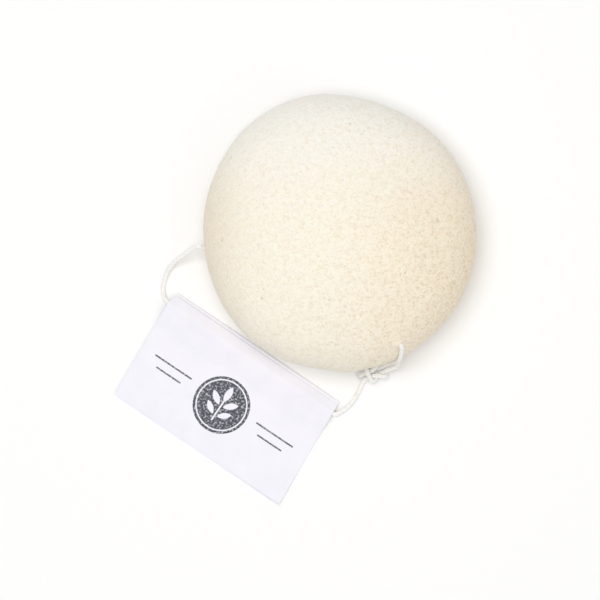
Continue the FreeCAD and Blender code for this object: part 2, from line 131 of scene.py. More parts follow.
class Material:
    """A material with a Principled shader, and short ways to add nodes to it."""

    def __init__(self, name, roughness):
        self.material = bpy.data.materials.new(name)
        self.material.use_nodes = True
        self.tree = self.material.node_tree
        self.shader = self.tree.nodes["Principled BSDF"]
        self.shader.inputs["Roughness"].default_value = roughness
        self.place = self.node("ShaderNodeTexCoord").outputs["Object"]

    def node(self, kind, settings=None, **inputs):
        """A node. An input is a value, or an output of another node to link; _0 is the first socket."""
        made = self.tree.nodes.new(kind)
        for key, value in (settings or {}).items():
            setattr(made, key, value)
        for key, value in inputs.items():
            socket = made.inputs[int(key[1:])] if key[0] == "_" else made.inputs[key.replace("_", " ")]
            self.put(socket, value)
        return made

    def put(self, socket, value):
        """Sets a socket, or links another node's output to it."""
        if isinstance(value, bpy.types.NodeSocket):
            self.tree.links.new(value, socket)
        else:
            socket.default_value = value

    def math(self, operation, first, second=0.0, third=0.0):
        made = self.node("ShaderNodeMath", {"operation": operation}, _0=first, _1=second, _2=third)
        return made.outputs[0]

    def weighted(self, first, share, second):
        """A share of the first value, and the rest of the second."""
        return self.math("ADD", self.math("MULTIPLY", first, share), self.math("MULTIPLY", second, 1 - share))

    def noise(self, scale, detail=2.0, rough=0.5, place=None):
        made = self.node(
            "ShaderNodeTexNoise", Vector=place or self.place, Scale=scale, Detail=detail, Roughness=rough
        )
        return made.outputs["Fac"]

    def cells(self, scale):
        """Distance to the nearest of scattered points, as a share of their spacing."""
        made = self.node("ShaderNodeTexVoronoi", {"feature": "F1"}, Vector=self.place, Scale=scale)
        return made.outputs["Distance"]

    def ramp(self, value, *stops):
        """A colour ramp from (place, colour code) stops."""
        made = self.node("ShaderNodeValToRGB", Fac=value)
        elements = made.color_ramp.elements
        while len(elements) < len(stops):
            elements.new(0.5)
        for element, (place, code) in zip(elements, stops):
            element.position = place
            element.color = srgb(code)
        return made.outputs["Color"]

    def step(self, value, low, high):
        """0 at low and before it, 1 at high and past it, smooth between."""
        smooth = {"interpolation_type": "SMOOTHSTEP"}
        made = self.node("ShaderNodeMapRange", smooth, Value=value, From_Min=low, From_Max=high)
        return made.outputs["Result"]

    def mix(self, share, first, second, blend="MIX"):
        made = self.node("ShaderNodeMix", {"data_type": "RGBA", "blend_type": blend})
        self.put(made.inputs[MIX_SHARE], share)
        self.put(made.inputs[MIX_FIRST], first)
        self.put(made.inputs[MIX_SECOND], second)
        return made.outputs[MIX_RESULT]

    def bump(self, height, depth_mm, strength):
        made = self.node("ShaderNodeBump", Strength=strength, Distance=depth_mm * MM, Height=height)
        self.put(self.shader.inputs["Normal"], made.outputs["Normal"])

    def colour(self, value):
        self.put(self.shader.inputs["Base Color"], value)


# Camera
def make_camera():
    data = bpy.data.cameras.new("Camera")
    width = PHOTO_PIXELS * MM_PER_PIXEL * MM
    data.sensor_width = SENSOR_MM
    data.lens = SENSOR_MM * (CAMERA_HEIGHT_M - EQUATOR * MM) / width
    camera = bpy.data.objects.new("Camera", data)
    across = (PHOTO_PIXELS / 2 - SPONGE_PIXEL[0]) * MM_PER_PIXEL * MM
    up = (SPONGE_PIXEL[1] - PHOTO_PIXELS / 2) * MM_PER_PIXEL * MM
    camera.location = (across, up, CAMERA_HEIGHT_M)
    bpy.context.scene.collection.objects.link(camera)
    bpy.context.scene.camera = camera


# The reef knot's place, and the points of a bight's leg in string diameters: along the knot, aside and up
KNOT_CENTRE = Vector((11.12, -40.09, 2.58))
KNOT_TURN = math.radians(22.0)
OVER = Vector((2.70, 0.53, 1.30))
DIP = Vector((0.25, 0.53, -0.55))
SWING = Vector((-1.07, 1.66, -0.83))
BEND = Vector((-1.77, 1.47, 0.72))


def knot_place(x, y, z):
    """A point of the knot's frame, in millimetres: x along the knot, y towards the sponge."""
    c = math.cos(KNOT_TURN)
    s = math.sin(KNOT_TURN)
    return KNOT_CENTRE + Vector((c * x - s * y, s * x + c * y, z))


def knot_point(point, outer=False, turned=False):
    """A leg's point on the knot's outer or inner side, for the sponge's end or, turned, for the label's."""
    side = -1 if outer else 1
    end = -1 if turned else 1
    return knot_place(end * point.x * STRING, side * point.y * STRING, end * point.z * STRING)


def bight(turned):
    """Points of one end's bight from its standing leg's dip to its tail's dip."""
    outer = [knot_point(p, True, turned) for p in (DIP, SWING, BEND)]
    inner = [knot_point(p, False, turned) for p in (BEND, SWING, DIP)]
    return outer + inner


# Cut ends of the knot's two tails
SHORT_TAIL_END = knot_place(-5.4, 0.74, -1.82)
LONG_TAIL_END = knot_place(7.0, 0.74, 0.14)

# Where the string leaves the sponge, and where it goes in and out of the label
LEFT_EXIT = LEFT_MOUTH + ALONG * (MOUTH_DEPTH - HELD_PROUD)
RIGHT_EXIT = RIGHT_MOUTH - ALONG * (MOUTH_DEPTH - HELD_PROUD)
TAG_RIGHT = TAG_LEFT + TAG_ALONG * (TAG_LENGTH + 2 * TAG_STRING_PROUD)
TAG_ENTRY = 0.6
TAG_HOLD = 6 * STRING
TAG_LEAVE = 1.3
TAG_PAST = 0.43

# From the left mouth down to the table, through the label and into the knot
LABEL_END_ROUTE = [
    LEFT_EXIT,
    Vector((-40.96, -3.25, 10.60)),
    Vector((-44.50, -5.85, 7.30)),
    Vector((-48.90, -8.89, 2.40)),
    Vector((-51.00, -14.30, 0.75)),
    Vector((-51.00, -17.60, 0.95)),
    Vector((-50.20, -19.50, 1.12)),
    TAG_LEFT + TAG_ALONG * TAG_ENTRY,
    TAG_LEFT + TAG_ALONG * TAG_HOLD,
    TAG_RIGHT - TAG_ALONG * TAG_HOLD,
    TAG_RIGHT - TAG_ALONG * TAG_LEAVE,
    TAG_RIGHT + TAG_ALONG * TAG_PAST,
    Vector((0.64, -51.92, 0.95)),
    Vector((2.35, -50.75, 0.78)),
    Vector((4.35, -48.75, 0.75)),
    Vector((5.95, -46.10, 0.75)),
    Vector((6.75, -43.90, 0.75)),
    knot_point(OVER, True, True),
    *bight(True),
    knot_point(OVER, False, True),
    SHORT_TAIL_END,
]

# From the right mouth over the shoulder, down the flank and into the knot
SPONGE_END_ROUTE = [
    RIGHT_EXIT,
    Vector((17.75, -31.90, 24.35)),
    Vector((18.25, -32.95, 23.00)),
    Vector((18.00, -35.60, 18.80)),
    Vector((17.20, -37.38, 10.51)),
    Vector((17.37, -38.36, 6.36)),
    *bight(False),
    knot_point(OVER),
    LONG_TAIL_END,
]

# Points of a smooth line for each point of its route
LINE_POINTS = 24


def smooth_line(points):
    """Points along the smooth line that a route's points control."""
    curve = bpy.data.curves.new("route", "CURVE")
    curve.dimensions = "3D"
    spline = curve.splines.new("NURBS")
    spline.points.add(len(points) - 1)
    for target, point in zip(spline.points, points):
        target.co = (*point, 1.0)
    spline.order_u = 3
    spline.use_endpoint_u = True
    spline.resolution_u = LINE_POINTS
    holder = bpy.data.objects.new("route", curve)
    mesh = bpy.data.meshes.new_from_object(holder)
    line = np.array([v.co for v in mesh.vertices])
    bpy.data.meshes.remove(mesh)
    bpy.data.objects.remove(holder)
    bpy.data.curves.remove(curve)
    return line


def distances_along(line):
    """How far along a line each of its points is."""
    return np.concatenate([[0], np.cumsum(np.linalg.norm(np.diff(line, axis=0), axis=1))])


def cross_directions(line):
    """Two directions across a line that turn as little as they can along it."""
    tangent = np.gradient(line, axis=0)
    tangent /= np.linalg.norm(tangent, axis=1, keepdims=True)
    first = np.zeros_like(line)
    start = np.cross(tangent[0], (0.0, 0.0, 1.0))
    first[0] = start / np.linalg.norm(start)
    for i in range(1, len(line)):
        level = first[i - 1] - tangent[i] * (first[i - 1] @ tangent[i])
        first[i] = level / np.linalg.norm(level)
    return first, np.cross(tangent, first)


class Tubes:
    """Collects round tubes into one mesh."""

    def __init__(self):
        self.points = []
        self.faces = []
        self.count = 0

    def add(self, line, radii, sides):
        first, second = cross_directions(line)
        turn = np.linspace(0, 2 * math.pi, sides, endpoint=False)
        ring = np.cos(turn)[None, :, None] * first[:, None] + np.sin(turn)[None, :, None] * second[:, None]
        points = line[:, None] + ring * np.asarray(radii)[:, None, None]
        index = self.count + np.arange(len(line) * sides).reshape(len(line), sides)
        beside = np.roll(index, -1, axis=1)
        quads = np.stack([index[:-1], beside[:-1], beside[1:], index[1:]], axis=-1).reshape(-1, 4)
        self.points.append(points.reshape(-1, 3))
        self.faces += quads.tolist()
        self.faces += [index[0][::-1].tolist(), index[-1].tolist()]
        self.count += len(line) * sides


# Twisted plies of the string, in millimetres
PLIES = 4
PLY_RADIUS = 0.26 * STRING
PLY_OFFSET = STRING / 2 - PLY_RADIUS
LAY = 4.8 * STRING
PLY_SIDES = 9
UNEVEN_SHARE = 0.10
UNEVEN_LENGTH = 1.7
PLY_SHIFT = 9.1
CUT_FLARE = 0.55
CUT_STAGGER = 0.5
FLARE_LENGTH = 2.2
STRING_FLOOR = 0.02

# Loose fibres along the string
HAIR_STEPS = np.linspace(0, 1, 5)[:, None]
HAIR_FLOOR = 0.03
FUZZ_PER_MM = 3.0
FUZZ_RADIUS = 0.012
FUZZ_TAPER = 0.5
FUZZ_SIDES = 3
FUZZ_MARGIN = 2
FUZZ_LENGTH = (0.35, 0.95)
FUZZ_LEAN = (0.3, 1.4)
FUZZ_ROOT = 0.9
FUZZ_RISE = 0.45
FUZZ_CURL = 1.5

# Fibres of a cut end
BRUSH_HAIRS = 26
BRUSH_RADIUS = 2 * FUZZ_RADIUS
BRUSH_TAPER = 0.4
BRUSH_SIDES = 4
BRUSH_LENGTH = (0.5, 1.25)
BRUSH_SPREAD = 0.42
BRUSH_ROOT = 0.35
BRUSH_WIDTH = 0.38


def add_hair(tubes, line, radius, taper, sides):
    """One fibre, which stays above the table and thins towards its tip."""
    line[:, 2] = np.maximum(line[:, 2], HAIR_FLOOR)
    tubes.add(line, radius * (1 - taper * HAIR_STEPS[:, 0]), sides)


def add_fuzz(tubes, plies, run, random):
    """Loose fibres that stand out of the plies."""
    for _ in range(int(FUZZ_PER_MM * run[-1])):
        ply = plies[random.integers(PLIES)]
        at = np.searchsorted(run, random.uniform(0, run[-1]))
        i = int(np.clip(at, FUZZ_MARGIN, len(ply) - 1 - FUZZ_MARGIN))
        tangent = ply[i + 1] - ply[i - 1]
        tangent /= np.linalg.norm(tangent)
        side = random.normal(size=3)
        side -= tangent * (side @ tangent)
        side /= np.linalg.norm(side)
        length = random.uniform(*FUZZ_LENGTH)
        lean = random.uniform(*FUZZ_LEAN) * random.choice((-1, 1))
        out = PLY_RADIUS * FUZZ_ROOT + length * FUZZ_RISE * HAIR_STEPS
        hair = ply[i] + side * out + tangent * (lean * length * HAIR_STEPS**FUZZ_CURL)
        add_hair(tubes, hair, FUZZ_RADIUS, FUZZ_TAPER, FUZZ_SIDES)


def add_brush(tubes, ply, random):
    """Fibres that spread from a ply's cut end."""
    heading = ply[-1] - ply[-4]
    heading /= np.linalg.norm(heading)
    for _ in range(BRUSH_HAIRS):
        way = heading + random.normal(size=3) * BRUSH_SPREAD
        way /= np.linalg.norm(way)
        start = ply[-1] - heading * BRUSH_ROOT + random.normal(size=3) * PLY_RADIUS * BRUSH_WIDTH
        length = random.uniform(*BRUSH_LENGTH)
        hair = start + (heading * (1 - HAIR_STEPS) + way * HAIR_STEPS) * (HAIR_STEPS * length)
        add_hair(tubes, hair, BRUSH_RADIUS, BRUSH_TAPER, BRUSH_SIDES)


def string_piece(name, line, material, seed, cut_end):
    """A twisted cotton string along a line: plies, loose fibres and, at a cut end, a small brush."""
    random = np.random.default_rng(seed)
    first, second = cross_directions(line)
    run = distances_along(line)
    flare = 1.0 + CUT_FLARE * cut_end * smooth_step(run[-1] - FLARE_LENGTH, run[-1], run)
    tubes = Tubes()
    plies = []
    for ply in range(PLIES):
        angle = 2 * math.pi * (ply / PLIES + run / LAY)
        away = np.cos(angle)[:, None] * first + np.sin(angle)[:, None] * second
        centre = line + away * (PLY_OFFSET * flare)[:, None]
        uneven = np.array([noise.noise((s / UNEVEN_LENGTH, PLY_SHIFT * ply, seed)) for s in run])
        radii = PLY_RADIUS * (1 + UNEVEN_SHARE * uneven)
        if cut_end:
            keep = run < run[-1] - random.uniform(0, CUT_STAGGER)
            centre = centre[keep]
            radii = radii[keep]
        tubes.add(centre, radii, PLY_SIDES)
        plies.append(centre)
    add_fuzz(tubes, plies, run, random)
    if cut_end:
        for ply in plies:
            add_brush(tubes, ply, random)
    points = np.concatenate(tubes.points)
    points[:, 2] = np.maximum(points[:, 2], STRING_FLOOR)
    return mesh_piece(name, points, tubes.faces, material)


def cotton():
    """White cotton with fine fibres and a soft sheen."""
    m = Material("cotton_string", roughness=0.85)
    fibre = m.noise(scale=5200.0, detail=3.0, rough=0.6)
    soft = m.noise(scale=420.0)
    tone = m.weighted(fibre, 0.55, soft)
    m.colour(m.ramp(tone, (0.3, "EBEAE6"), (0.5, "FBFAF7"), (0.7, "FFFFFD")))
    m.bump(fibre, depth_mm=0.08, strength=0.7)
    m.shader.inputs["Sheen Weight"].default_value = 0.25
    m.shader.inputs["Sheen Roughness"].default_value = 0.6
    m.shader.inputs["Specular IOR Level"].default_value = 0.25
    return m.material


def make_string(tag):
    """The string's two free ends and the stretch that the sponge holds."""
    material = cotton()
    label_line = smooth_line(LABEL_END_ROUTE)
    sponge_line = smooth_line(SPONGE_END_ROUTE)
    held_line = smooth_line([LEFT_EXIT, (LEFT_EXIT + RIGHT_EXIT) / 2, RIGHT_EXIT])
    label_end = string_piece("string_label_end", label_line, material, seed=11, cut_end=True)
    sponge_end = string_piece("string_sponge_end", sponge_line, material, seed=12, cut_end=True)
    held = string_piece("string_in_sponge", held_line, material, seed=13, cut_end=False)
    label_nodes = ("string_left_run", "string_through_tag", "string_right_run", "knot_tag_bight")
    for piece, body, nodes in (
        (label_end, "string_loop", label_nodes),
        (sponge_end, "string_loop", ("string_sponge_run", "knot_sponge_bight")),
        (held, "sponge", ("string_through_sponge",)),
    ):
        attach(piece, body)
        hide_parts(*nodes)


# Where the sponge's outline stands out or in: direction in degrees, reach in millimetres, width in degrees
OUTLINE_LOBES = (
    (96.0, 0.45, 14.0),
    (118.0, 0.9, 20.0),
    (136.0, 0.25, 12.0),
    (189.0, -0.95, 34.0),
    (68.0, -0.6, 24.0),
    (261.0, -0.5, 8.0),
    (228.0, 0.12, 8.0),
    (-10.0, 0.1, 30.0),
)

# Soft swells and grain of the foam: depth and size in millimetres, and a seed
FOAM_NOISE = ((0.16, 26.0, 1), (0.12, 10.0, 2), (0.07, 1.9, 3), (0.05, 0.95, 4))
NOISE_SHIFT = (7.3, 3.1, 5.7)

# Small and large pores: spacing in millimetres, share that is open, depth in millimetres, and width
PORES = ((1.25, 0.75, 0.16, 1.0), (3.4, 0.35, 0.42, 0.75))
PORE_LEAST = 0.18
PORE_RANGE = 0.22
PORE_SHUFFLE = 13.7

# The drawn-in left mouth of the string channel, and the foam's lip over the string at the right one
PUCKER = 0.6
PUCKER_INNER = 0.4 * STRING
PUCKER_OUTER = 1.2 * STRING
PUCKER_NEAR = 6.0
LIP_RISE = 0.95
LIP_REACH = 1.6

# How finely the sponge's surface is divided. Its flat base has fewer points than the rest
BALL_CELLS = 128
BASE_HEIGHT = 1.0
BASE_DENSITY = 0.2
FLAT_STEPS = 200
BEND_STEPS = 400


def profile():
    """Radius, height and outward normal along the sponge's outline, from its base's middle to its crown."""
    base = SPONGE_RADIUS - EQUATOR
    shoulder = SPONGE_HEIGHT - EQUATOR - CROWN_RISE
    inner = SPONGE_RADIUS - shoulder
    rise = SPONGE_HEIGHT - EQUATOR
    crown = (inner**2 + rise**2 - shoulder**2) / (2 * CROWN_RISE)
    meet = math.atan2(EQUATOR - SPONGE_HEIGHT + crown, inner)
    along = np.linspace(0, base, FLAT_STEPS, endpoint=False)
    flat = np.stack([along, 0 * along, 0 * along, 0 * along - 1], axis=1)

    def bend(centre, radius, start, end):
        turn = np.linspace(start, end, BEND_STEPS, endpoint=False)
        c = np.cos(turn)
        s = np.sin(turn)
        return np.stack([centre[0] + radius * c, centre[1] + radius * s, c, s], axis=1)

    return np.concatenate(
        [
            flat,
            bend((base, EQUATOR), EQUATOR, -math.pi / 2, 0),
            bend((inner, EQUATOR), shoulder, 0, meet),
            bend((0, SPONGE_HEIGHT - crown), crown, meet, math.pi / 2),
            [[0, SPONGE_HEIGHT, 0, 1]],
        ]
    )


def ball_grid(cells):
    """Unit directions and quads of a cube whose faces are divided evenly in angle and blown up to a ball."""
    a, b = np.meshgrid(np.arange(cells + 1), np.arange(cells + 1), indexing="ij")
    lattice = []
    quads = []
    for axis in range(3):
        for side in (0, cells):
            sheet = np.zeros((cells + 1, cells + 1, 3), int)
            sheet[..., axis] = side
            sheet[..., (axis + 1) % 3] = a
            sheet[..., (axis + 2) % 3] = b
            quad = grid_quads((len(lattice) * (cells + 1) + a) * (cells + 1) + b)
            quads.append(quad if side else quad[:, ::-1])
            lattice.append(sheet.reshape(-1, 3))
    corners, inverse = np.unique(np.concatenate(lattice), axis=0, return_inverse=True)
    directions = np.tan((2 * corners / cells - 1) * math.pi / 4)
    directions /= np.linalg.norm(directions, axis=1, keepdims=True)
    return directions, inverse.ravel()[np.concatenate(quads)]


def smooth_form():
    """Points and outward normals all over the sponge's plain turned form, and quads between them."""
    directions, quads = ball_grid(BALL_CELLS)
    line = profile()
    rho = line[:, 0]
    height = line[:, 1]
    density = np.where(height < BASE_HEIGHT, BASE_DENSITY, 1.0)
    band = np.hypot(np.diff(rho), np.diff(height)) * (rho[1:] + rho[:-1]) * (density[1:] + density[:-1])
    share = np.concatenate([[0], np.cumsum(band)]) / band.sum()
    at = (1 + directions[:, 2]) / 2
    radius, level, normal_out, normal_up = [np.interp(at, share, line[:, k]) for k in range(4)]
    flat = np.hypot(directions[:, 0], directions[:, 1])
    flat = np.where(flat < 1e-9, 1.0, flat)
    c = directions[:, 0] / flat
    s = directions[:, 1] / flat
    points = np.stack([radius * c, radius * s, level], axis=1)
    normals = np.stack([normal_out * c, normal_out * s, normal_up], axis=1)
    return points, normals, quads


def soft_noise(points, cell, seed):
    """Soft noise of a size in millimetres at each point, about -1 to 1."""
    shift = Vector([seed * s for s in NOISE_SHIFT])
    return np.array([noise.noise(Vector(p) / cell + shift) for p in points])


def pore_depths(points):
    """How deep a pore is at each point, in millimetres."""
    pores = np.zeros(len(points))
    for cell, share, depth, width in PORES:
        for i, p in enumerate(points):
            distances, centres = noise.voronoi(Vector(p) / cell)
            chance = noise.cell(centres[0] * PORE_SHUFFLE)
            if chance < share:
                reach = PORE_LEAST + PORE_RANGE * chance / share
                fall = 1 - min(1.0, distances[0] / reach / width)
                pores[i] = max(pores[i], depth * fall * fall * (3 - 2 * fall))
    return pores


def foam_swell(points, normals):
    """How far the foam stands out of or into the smooth form, without its pores, in millimetres."""
    azimuth = np.degrees(np.arctan2(points[:, 1], points[:, 0]))
    swell = np.zeros(len(points))
    for middle, reach, width in OUTLINE_LOBES:
        apart = (azimuth - middle + 180) % 360 - 180
        swell += reach * np.exp(-((apart / width) ** 2))
    swell *= np.hypot(normals[:, 0], normals[:, 1]) ** 2
    for depth, cell, seed in FOAM_NOISE:
        swell += depth * soft_noise(points, cell, seed)
    return swell


def mouths(points, normals):
    """How the foam is drawn in where the string enters it on the left, and closes over it on the right."""
    inward = np.array(ALONG)
    away = points - np.array(LEFT_MOUTH)
    beside = np.linalg.norm(away - np.outer(away @ inward, inward), axis=1)
    drawn = PUCKER * (1 - smooth_step(PUCKER_INNER, PUCKER_OUTER, beside))
    drawn = np.where(np.linalg.norm(away, axis=1) < PUCKER_NEAR, drawn, 0.0)
    away = points - np.array(RIGHT_MOUTH)
    lip = LIP_RISE * np.exp(-((np.linalg.norm(away, axis=1) / LIP_REACH) ** 2))
    return np.outer(drawn, inward) + normals * lip[:, None]


def make_sponge():
    points, normals, quads = smooth_form()
    pores = pore_depths(points)
    stand = foam_swell(points, normals) - pores
    shaped = points + normals * stand[:, None] + mouths(points, normals)
    shaped[:, 2] = np.maximum(shaped[:, 2], 0.0)
    sponge = mesh_piece("sponge_foam", shaped, quads, foam())
    point_attribute(sponge, "pore", "FLOAT", pores / pores.max())
    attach(sponge, "sponge")
    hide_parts("sponge_body")


# Colours of the foam, some painted shade and light, and how strong its grain, flecks and painted pore shade
# are
FOAM_MIDDLE = "FDF6E9"
# Painted shade: darker and warmer to the right, and on the left rim
FOAM_RIGHT_SHADE = "F9ECD8"
FOAM_LEFT_SHADE = "F3E9D6"
# Painted light: lighter and cooler towards the top
FOAM_TOP_LIGHT = "FFFBF4"
FOAM_FLECK = "FFF8EA"
# Painted shade in the pores
FOAM_PORE_SHADE = "C4B48F"
GRAIN_LEAST = 0.36
# Painted shade: the grain is multiplied in more strongly to the right and lower right, darkening them
GRAIN_RIGHT_SHADE = 0.2
GRAIN_LOW_RIGHT_SHADE = 0.35
FLECK_SHARE = 0.5
PORE_SHADE_SHARE = 0.5


def foam():
    """Cream foam with grain; painted light makes its top cooler, painted shade its sides warmer and its pores
    dark.
    """
    m = Material("konjac_foam", roughness=0.8)
    fine = m.noise(scale=1700.0, rough=0.55)
    coarse = m.noise(scale=800.0)
    fleck = m.cells(scale=850.0)
    pore = m.node("ShaderNodeAttribute", {"attribute_name": "pore"}).outputs["Fac"]
    where = m.node("ShaderNodeSeparateXYZ", Vector=m.place)
    across = where.outputs["X"]
    up = where.outputs["Y"]
    # Painted shade darkens and warms the foam to the right and on the left; painted light lightens and cools
    # the top
    right = m.step(across, -10 * MM, 45 * MM)
    left = m.step(across, -22 * MM, -42 * MM)
    top = m.step(up, 0.0, 42 * MM)
    colour = m.mix(right, srgb(FOAM_MIDDLE), srgb(FOAM_RIGHT_SHADE))
    colour = m.mix(left, colour, srgb(FOAM_LEFT_SHADE))
    colour = m.mix(top, colour, srgb(FOAM_TOP_LIGHT))
    tone = m.weighted(fine, 0.6, coarse)
    grain = m.ramp(tone, (0.36, "DFD6C4"), (0.5, "F9F6EE"), (0.62, "FFFFFF"))
    # The grain is real; its extra strength to the right and lower right is painted shade
    low = m.step(up, 25 * MM, -35 * MM)
    grain_shade_right = m.step(across, -35 * MM, 45 * MM)
    grain_shade = m.math("MULTIPLY_ADD", low, GRAIN_LOW_RIGHT_SHADE, GRAIN_RIGHT_SHADE)
    depth = m.math("MULTIPLY_ADD", grain_shade_right, grain_shade, GRAIN_LEAST)
    colour = m.mix(depth, colour, grain, "MULTIPLY")
    bright = m.math("SUBTRACT", 1.0, m.step(fleck, 0.14, 0.3))
    colour = m.mix(m.math("MULTIPLY", bright, FLECK_SHARE), colour, srgb(FOAM_FLECK))
    # Painted shade: deeper pores are painted darker
    dark = m.step(pore, 0.35, 1.0)
    colour = m.mix(m.math("MULTIPLY", dark, PORE_SHADE_SHARE), colour, srgb(FOAM_PORE_SHADE))
    m.colour(colour)
    m.bump(tone, depth_mm=0.3, strength=0.8)
    m.shader.inputs["Subsurface Weight"].default_value = 0.35
    m.shader.inputs["Subsurface Radius"].default_value = (1.0, 0.85, 0.65)
    m.shader.inputs["Subsurface Scale"].default_value = 1.8 * MM
    m.shader.inputs["Specular IOR Level"].default_value = 0.2
    return m.material


# How finely the label is divided: columns along the fold, and steps round its bends and along its leaves
LABEL_COLUMNS = 96
FOLD_STEPS = 24
HUMP_STEPS = 16
NEAR_BACK = 2.4
NEAR_FRONT = 6.0
NEAR_STEP = 0.12
FRONT_STEP = 0.75
BACK_STEP = 0.9
SHARP_ANGLE = math.radians(50)

# The scored line by the label's fold
SCORE_PLACE = 1.1
SCORE_DEPTH = 0.12
SCORE_WIDTH = 0.22
SCORE_LINE = 0.12

# The front leaf's longer left edge, its lifted corner and its slight waves
LEAF_FLARE = 1.2
FLARE_FROM = 0.5
FLARE_TO = STRING_INSET + 1.0
CORNER_COLUMNS = (0.72, 1.0)
CORNER_ROWS = (24, 35)
CORNER_LIFT = 0.55
WAVE_HEIGHT = 0.05
WAVE_TURN = 9.0
WAVE_START = 0.6
WAVE_DIP = 0.02


def shared_normal(first, second, reach):
    """Direction, as an angle, that faces up from the straight that leaves one round and meets another."""
    gap = second - first
    return math.atan2(gap[1], gap[0]) + math.acos(reach / np.linalg.norm(gap))


def card_path():
    """Middle of the folded card across its fold: distance from the fold and height, back leaf first."""
    fold = np.array([FOLD_RADIUS + CARD, FOLD_RADIUS + CARD])
    hump = np.array([STRING_INSET, STRING_HEIGHT])
    settle = np.array([SETTLE, CARD + GLUE + SETTLE_RADIUS])
    up = shared_normal(fold, hump, FOLD_RADIUS - HUMP)
    down = shared_normal(hump, settle, HUMP + SETTLE_RADIUS)
    half = CARD / 2

    def bend(centre, radius, start, end, count):
        turn = np.linspace(start, end, count)
        return centre + radius * np.stack([np.cos(turn), np.sin(turn)], axis=1)

    pieces = [
        np.array([[TAG_WIDTH, half]]),
        bend(fold, FOLD_RADIUS + half, -math.pi / 2, -math.pi * 2 + up, FOLD_STEPS),
        bend(hump, HUMP + half, up, down, HUMP_STEPS),
        bend(settle, SETTLE_RADIUS - half, down + math.pi, math.pi * 1.5, HUMP_STEPS),
        np.array([[TAG_WIDTH - LEAF_STEP, CARD + GLUE + half]]),
    ]
    return np.concatenate(pieces)


def fine_path(path):
    """The card's path with points close together at the fold, and how far from the fold's middle each is."""
    run = distances_along(path)
    apex = np.interp(0.5, np.linspace(0, 1, FOLD_STEPS), run[1 : FOLD_STEPS + 1])
    front = run[-1] - apex
    near = np.arange(-NEAR_BACK, NEAR_FRONT, NEAR_STEP)
    far = np.arange(NEAR_FRONT, front, FRONT_STEP)
    back = -np.arange(NEAR_BACK, apex, BACK_STEP)[::-1]
    at = np.concatenate([[-apex], back[1:], near, far[1:], [front]])
    at = np.unique(np.round(at, 4))
    points = np.stack([np.interp(at + apex, run, path[:, k]) for k in range(2)], axis=1)
    return at, points


def card_side(side, at, path, share):
    """Points of one side of the card, and for each its place on the label and whether it is on the front."""
    tangent = np.gradient(path, axis=0)
    tangent /= np.linalg.norm(tangent, axis=1, keepdims=True)
    normal = np.stack([-tangent[:, 1], tangent[:, 0]], axis=1)
    score = SCORE_DEPTH * np.exp(-(((at - SCORE_PLACE) / SCORE_WIDTH) ** 2))
    offset = side * CARD / 2 - score * (side > 0)
    section = path + normal * offset[:, None]
    x = np.repeat(section[:, :1], len(share), axis=1)
    z = np.repeat(section[:, 1:], len(share), axis=1)
    flare = LEAF_FLARE * smooth_step(FLARE_FROM, FLARE_TO, at)[:, None]
    along = share[None, :] * (TAG_LENGTH + flare) - flare
    y = TAG_STRING_PROUD + (x - STRING_INSET) * TAG_LEAN + along
    front = smooth_step(SETTLE, TAG_WIDTH, at)[:, None]
    corner = smooth_step(*CORNER_COLUMNS, share)[None, :] * smooth_step(*CORNER_ROWS, at)[:, None]
    wave = WAVE_HEIGHT * np.sin(share * WAVE_TURN + WAVE_START)[None, :] * front
    z = z + CORNER_LIFT * corner + np.maximum(wave, -WAVE_DIP)
    points = (
        np.array(TAG_LEFT)
        + (x - STRING_INSET)[..., None] * np.array(TAG_OUT)
        + y[..., None] * np.array(TAG_ALONG)
        + (z - STRING_HEIGHT)[..., None] * np.array(UP)
    )
    printed = np.where(at > 0, 1.0, 0.0) * (side > 0)
    label = np.stack(
        [
            y - TAG_STRING_PROUD,
            np.repeat(at[:, None], len(share), axis=1),
            np.repeat(printed[:, None], len(share), axis=1),
        ],
        axis=-1,
    )
    return points.reshape(-1, 3), label.reshape(-1, 3)


def card_quads(rows, columns):
    """Faces of the card: its outer side, its inner side and the rim between them."""
    outer = np.arange(rows * columns).reshape(rows, columns)
    inner = outer + rows * columns
    quads = [grid_quads(outer), grid_quads(inner.T)]
    for edge_outer, edge_inner in (
        (outer[:, 0], inner[:, 0]),
        (outer[-1, :], inner[-1, :]),
        (outer[::-1, -1], inner[::-1, -1]),
        (outer[0, ::-1], inner[0, ::-1]),
    ):
        rim = np.stack([edge_outer[:-1], edge_inner[:-1], edge_inner[1:], edge_outer[1:]], axis=-1)
        quads.append(rim)
    return np.concatenate(quads)


def make_tag():
    at, path = fine_path(card_path())
    share = np.linspace(0, 1, LABEL_COLUMNS + 1)
    outer_points, outer_label = card_side(1, at, path, share)
    inner_points, inner_label = card_side(-1, at, path, share)
    points = np.concatenate([outer_points, inner_points])
    tag = mesh_piece("label_card", points, card_quads(len(at), len(share)), card())
    tag.data.set_sharp_from_angle(angle=SHARP_ANGLE)
    point_attribute(tag, "label", "FLOAT_VECTOR", np.concatenate([outer_label, inner_label]))
    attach(tag, "tag")
    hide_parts("folded_tag")
    return tag


# The print on the label, in millimetres: a round badge with a sprig left bare in it, between short rules
BADGE = (28.3, 20.6)
BADGE_RADIUS = 8.4
BADGE_RING = 7.4
RING_HALF = 0.2
STEM_DROP = 1.6
STEM_HALF_WIDTH = 0.24
STEM_HALF_LENGTH = 3.6
INK_EDGE = 0.09

# Leaves of the sprig: place about the badge's centre, lean in degrees and half length
SPRIG_LEAVES = (
    (0.0, -3.6, 90, 2.5),
    (-2.5, -1.1, 38, 2.3),
    (2.5, -1.1, 142, 2.3),
    (-2.4, 2.2, 38, 2.1),
    (2.4, 2.2, 142, 2.1),
)
LEAF_PLUMPNESS = 0.4

# Rules: place and half length
RULES = ((10.6, 19.2, 6.4), (10.6, 22.0, 4.2), (46.0, 19.2, 6.4), (46.0, 22.0, 4.2))
RULE_HALF = 0.24


